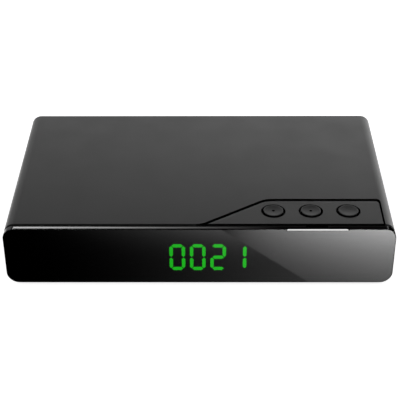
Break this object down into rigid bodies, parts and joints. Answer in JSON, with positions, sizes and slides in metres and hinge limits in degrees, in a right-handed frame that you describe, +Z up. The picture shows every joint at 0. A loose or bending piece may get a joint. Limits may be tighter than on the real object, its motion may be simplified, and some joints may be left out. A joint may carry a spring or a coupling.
{
  "type": "satellite tv receiver",
  "caption": "Flat black satellite TV receiver: rounded case, smoked front with lit digits, sprung push buttons in a slanted top plate, rear socket panel.",
  "frame": {"origin": "on the surface that the feet stand on, under the middle of the outer box, rear connectors included", "axes": "+X to the right seen from the front, +Y from the front window to the rear panel, +Z up"},
  "size_m": [0.22, 0.1406, 0.0394],
  "materials": {
    "case_black": "fine satin texture, moulded black",
    "gloss_black": "polished piano black",
    "smoked_window": "polished smoked acrylic, see-through only where lit from behind",
    "light_guide": "milky light guide, lit white",
    "button_black": "satin moulded caps",
    "segment_green": "translucent segments, lit green",
    "reflector_grey": "dark display housing",
    "board_green": "glass-fibre circuit board with solder resist",
    "tin_plate": "tinned sheet",
    "nickel": "nickel plate",
    "socket_black": "black connector moulding",
    "audio_orange": "orange connector moulding",
    "chip_black": "moulded chip package",
    "aluminium": "extruded",
    "ferrite_grey": "ferrite",
    "screw_steel": "blackened zinc",
    "ribbon_grey": "flat ribbon cable",
    "panel_black": "black rear panel",
    "foot_rubber": "soft black rubber"
  },
  "bodies": {
    "case": {"top_cover": "case_black", "bottom_shell": "case_black", "button_plate": "case_black", "front_bezel": "gloss_black", "front_window": "smoked_window", "status_light_guide": "light_guide", "status_led": "light_guide", "key_switch_1": "socket_black", "key_switch_2": "socket_black", "key_switch_3": "socket_black", "key_board": "board_green", "display_board": "board_green", "display_housing": "reflector_grey", "display_digit_1": "segment_green", "display_digit_2": "segment_green", "display_digit_3": "segment_green", "display_digit_4": "segment_green", "infrared_receiver": "chip_black", "display_screw_1": "screw_steel", "display_screw_2": "screw_steel", "main_board": "board_green", "board_screw_1": "screw_steel", "board_screw_2": "screw_steel", "board_screw_3": "screw_steel", "board_screw_4": "screw_steel", "case_screw_1": "screw_steel", "case_screw_2": "screw_steel", "case_screw_3": "screw_steel", "case_screw_4": "screw_steel", "foot_left_front": "foot_rubber", "foot_left_back": "foot_rubber", "foot_right_front": "foot_rubber", "foot_right_back": "foot_rubber", "rear_panel": "panel_black", "tuner_can": "tin_plate", "aerial_in_connector": "nickel", "aerial_out_connector": "nickel", "aerial_in_nut": "nickel", "aerial_out_nut": "nickel", "hdmi_socket": "nickel", "usb_socket": "nickel", "scart_socket": "socket_black", "power_jack": "socket_black", "digital_audio_socket": "audio_orange", "decoder_chip": "chip_black", "memory_chip": "chip_black", "heat_sink": "aluminium", "capacitor_1": "tin_plate", "capacitor_2": "tin_plate", "capacitor_3": "tin_plate", "power_inductor": "ferrite_grey", "display_ribbon": "ribbon_grey", "key_ribbon": "ribbon_grey"},
    "channel_down_button": {"button_channel_down": "button_black"},
    "channel_up_button": {"button_channel_up": "button_black"},
    "standby_button": {"button_standby": "button_black"},
    "channel_down_plunger": {"key_plunger_1": "socket_black"},
    "channel_up_plunger": {"key_plunger_2": "socket_black"},
    "standby_plunger": {"key_plunger_3": "socket_black"}
  },
  "joints": [
    {"name": "channel_down_press", "type": "slide", "parent": "case", "child": "channel_down_button", "axis": [0, 0, -1], "range_m": [0, 0.00058], "stiffness_N_per_m": 800, "springref_m": -0.001},
    {"name": "channel_up_press", "type": "slide", "parent": "case", "child": "channel_up_button", "axis": [0, 0, -1], "range_m": [0, 0.00058], "stiffness_N_per_m": 800, "springref_m": -0.001},
    {"name": "standby_press", "type": "slide", "parent": "case", "child": "standby_button", "axis": [0, 0, -1], "range_m": [0, 0.00058], "stiffness_N_per_m": 800, "springref_m": -0.001},
    {"name": "channel_down_switch", "type": "slide", "parent": "case", "child": "channel_down_plunger", "axis": [0, 0, -1], "range_m": [0, 0.00029]},
    {"name": "channel_up_switch", "type": "slide", "parent": "case", "child": "channel_up_plunger", "axis": [0, 0, -1], "range_m": [0, 0.00029]},
    {"name": "standby_switch", "type": "slide", "parent": "case", "child": "standby_plunger", "axis": [0, 0, -1], "range_m": [0, 0.00029]}
  ],
  "couplings": [
    {"joint": "channel_down_switch", "follows": "channel_down_press", "ratio": 0.5},
    {"joint": "channel_up_switch", "follows": "channel_up_press", "ratio": 0.5},
    {"joint": "standby_switch", "follows": "standby_press", "ratio": 0.5}
  ]
}
